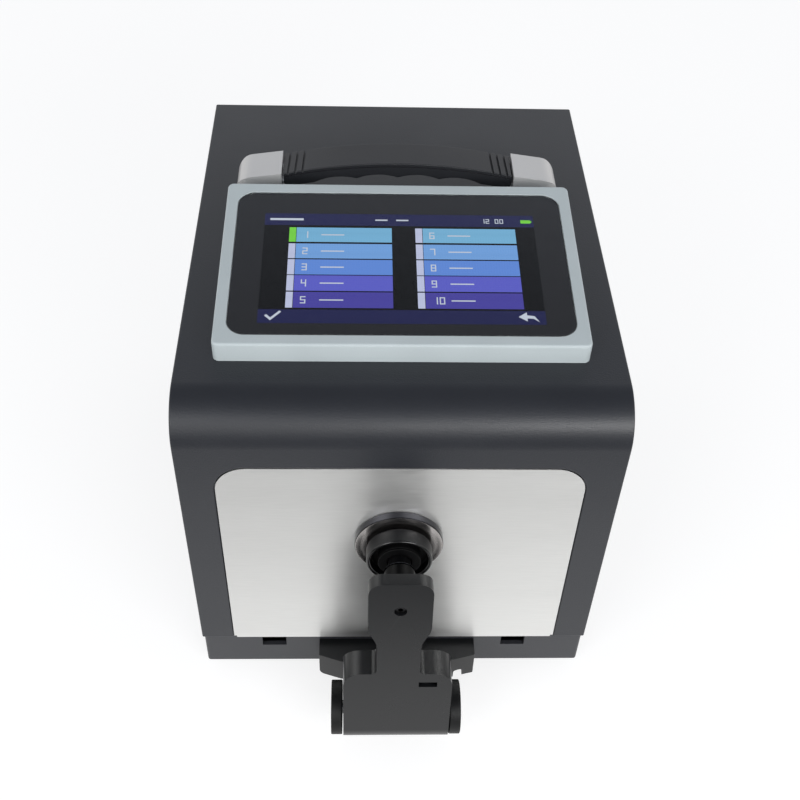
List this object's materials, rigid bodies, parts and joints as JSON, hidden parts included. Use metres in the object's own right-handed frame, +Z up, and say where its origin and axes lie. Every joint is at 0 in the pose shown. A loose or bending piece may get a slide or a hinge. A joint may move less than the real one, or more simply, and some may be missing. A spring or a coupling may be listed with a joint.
{
  "type": "benchtop colorimeter",
  "caption": "Box-shaped bench colorimeter with a sloping touch screen, a carrying handle and a sprung clamp that presses a specimen to its measuring port.",
  "frame": {"origin": "on the table under the middle of the whole instrument, clamp and sockets included", "axes": "+X to the right seen from the front, +Y from the clamp side to the back, +Z up"},
  "size_m": [0.24, 0.3553, 0.263],
  "materials": {
    "cover_paint": "satin textured powder coat",
    "base_paint": "satin",
    "panel_aluminium": "bead blasted and clear anodised",
    "folded_steel": "zinc plated",
    "bezel_plastic": "fine matt",
    "foam_gasket": "matt",
    "touch_glass": "clear with a black printed border",
    "lcd_plastic": "gloss",
    "board_green": "solder mask",
    "screw_steel": "zinc plated",
    "dark_screw_steel": "blackened",
    "cap_paint": "satin silver",
    "grip_vinyl": "matt",
    "strap_steel": "bright",
    "seat_aluminium": "black anodised",
    "port_steel": "polished",
    "bracket_paint": "satin black",
    "hinge_steel": "ground",
    "cap_black": "satin black",
    "bush_bronze": "oiled",
    "spring_steel": "oil tempered",
    "arm_paint": "satin dark grey",
    "ball_steel": "polished and blackened",
    "stem_aluminium": "black anodised",
    "cup_plastic": "matt black",
    "retainer_plastic": "gloss black",
    "pad_rubber": "matt",
    "optics_aluminium": "milled",
    "sphere_white": "matt white coating",
    "baffle_black": "matt black anodised",
    "led_yellow": "phosphor",
    "lens_glass": "polished",
    "motor_steel": "plain",
    "spectrometer_paint": "matt black",
    "grating_mirror": "ruled mirror",
    "standoff_brass": "plain",
    "battery_wrap": "shrink wrap",
    "ribbon_plastic": "flat cable",
    "rear_paint": "satin textured powder coat",
    "switch_black": "gloss",
    "socket_black": "matt",
    "usb_plastic": "matt",
    "foot_rubber": "matt"
  },
  "bodies": {
    "instrument": {"base_tray": "base_paint", "rubber_feet": "foot_rubber", "foot_screws": "screw_steel", "top_cover": "cover_paint", "front_panel": "panel_aluminium", "front_bulkhead": "folded_steel", "rear_panel": "rear_paint", "rear_screws": "dark_screw_steel", "screen_bezel": "bezel_plastic", "screen_gasket": "foam_gasket", "touch_glass": "touch_glass", "lcd_module": "lcd_plastic", "display_board": "board_green", "bezel_screws": "screw_steel", "handle_cap_right": "cap_paint", "handle_cap_left": "cap_paint", "handle_stiffeners": "folded_steel", "handle_screws": "screw_steel", "port_seat": "seat_aluminium", "clamp_bracket": "bracket_paint", "bracket_screws": "screw_steel", "hinge_shaft": "hinge_steel", "hinge_end_caps": "cap_black", "clamp_springs": "spring_steel", "optics_plate": "optics_aluminium", "sphere_front_half": "sphere_white", "sphere_rear_half": "sphere_white", "sphere_screws": "dark_screw_steel", "sphere_stand": "optics_aluminium", "lamp_housing": "baffle_black", "led_module": "led_yellow", "lens_tube": "baffle_black", "view_lens": "lens_glass", "trap_motor": "motor_steel", "trap_motor_post": "optics_aluminium", "spectrometer_box": "spectrometer_paint", "spectrometer_lid": "spectrometer_paint", "diffraction_grating": "grating_mirror", "sensor_board": "board_green", "main_board": "board_green", "board_standoffs": "standoff_brass", "chassis_screws": "screw_steel", "battery_pack": "battery_wrap", "ribbon_cable": "ribbon_plastic", "rocker_housing": "socket_black", "power_inlet": "socket_black", "usb_socket": "usb_plastic"},
    "arm": {"arm_body": "arm_paint", "ball_screw": "screw_steel", "hinge_bushes": "bush_bronze"},
    "ball": {"swivel_ball": "ball_steel"},
    "stem": {"pad_stem": "stem_aluminium"},
    "pad": {"pad_cup": "cup_plastic", "pad_retainer": "retainer_plastic", "pad_face": "pad_rubber"},
    "handle": {"handle_grip": "grip_vinyl", "handle_strap": "strap_steel"},
    "aperture": {"aperture_plate": "port_steel"},
    "flap": {"trap_flap": "baffle_black"},
    "rocker": {"power_rocker": "switch_black"}
  },
  "joints": [
    {"name": "arm_swing", "type": "hinge", "parent": "instrument", "child": "arm", "pos_m": [0, -0.16105, 0.028], "axis": [1, 0, 0], "range_deg": [0, 90], "stiffness_Nm_per_rad": 0.5, "springref_deg": -68.75, "deforming": ["clamp_springs"]},
    {"name": "pad_tilt_x", "type": "hinge", "parent": "arm", "child": "ball", "pos_m": [0, -0.15185, 0.136], "axis": [1, 0, 0], "range_deg": [-3.5, 3.5]},
    {"name": "pad_tilt_z", "type": "hinge", "parent": "ball", "child": "stem", "pos_m": [0, -0.15185, 0.136], "axis": [0, 0, 1], "range_deg": [-3.5, 3.5]},
    {"name": "pad_spin", "type": "hinge", "parent": "stem", "child": "pad", "pos_m": [0, -0.1275, 0.136], "axis": [0, 1, 0], "continuous": true},
    {"name": "grip_lift", "type": "slide", "parent": "instrument", "child": "handle", "axis": [0, 0, 1], "range_m": [0, 0.0025]},
    {"name": "aperture_twist", "type": "hinge", "parent": "instrument", "child": "aperture", "pos_m": [0, -0.11835, 0.136], "axis": [0, -1, 0], "range_deg": [0, 45]},
    {"name": "trap_swing", "type": "hinge", "parent": "instrument", "child": "flap", "pos_m": [-0.03096, -0.01102, 0.136], "axis": [0, 0, 1], "range_deg": [0, 75]},
    {"name": "rocker_tilt", "type": "hinge", "parent": "instrument", "child": "rocker", "pos_m": [0.084, 0.16765, 0.068], "axis": [-1, 0, 0], "range_deg": [0, 12]}
  ]
}
